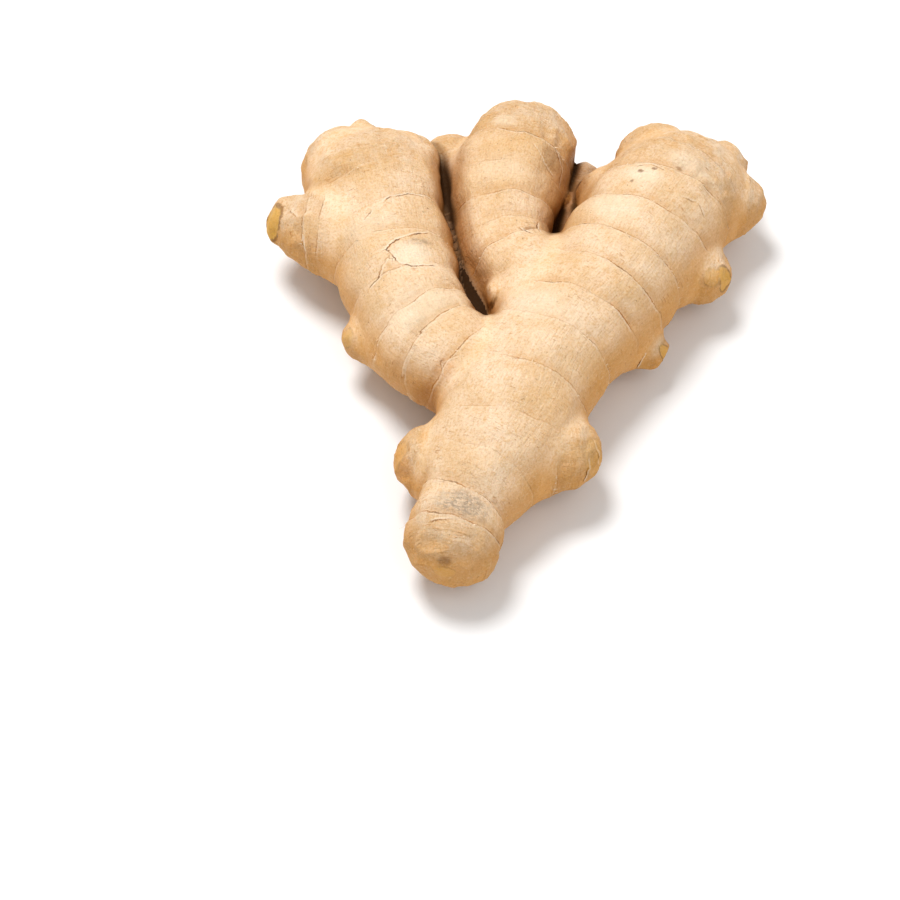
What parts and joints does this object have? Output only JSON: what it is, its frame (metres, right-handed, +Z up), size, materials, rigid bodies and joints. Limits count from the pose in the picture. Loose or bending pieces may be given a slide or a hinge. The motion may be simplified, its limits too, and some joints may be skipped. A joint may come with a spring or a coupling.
{
  "type": "ginger rhizome",
  "caption": "Fresh ginger rhizome lying flat: a short stem with a rounded cut end, thick blunt fingers spreading from it, and small buds along their sides.",
  "frame": {"origin": "on the surface that the rhizome lies on, under the middle of its bounding box", "axes": "+Z up; +Y from the cut stem towards the finger tips; +X to the right of that, towards the largest finger"},
  "size_m": [0.13, 0.152, 0.0351],
  "materials": {
    "ginger_skin": "satin"
  },
  "bodies": {
    "root": {"rhizome": "ginger_skin"}
  },
  "joints": []
}
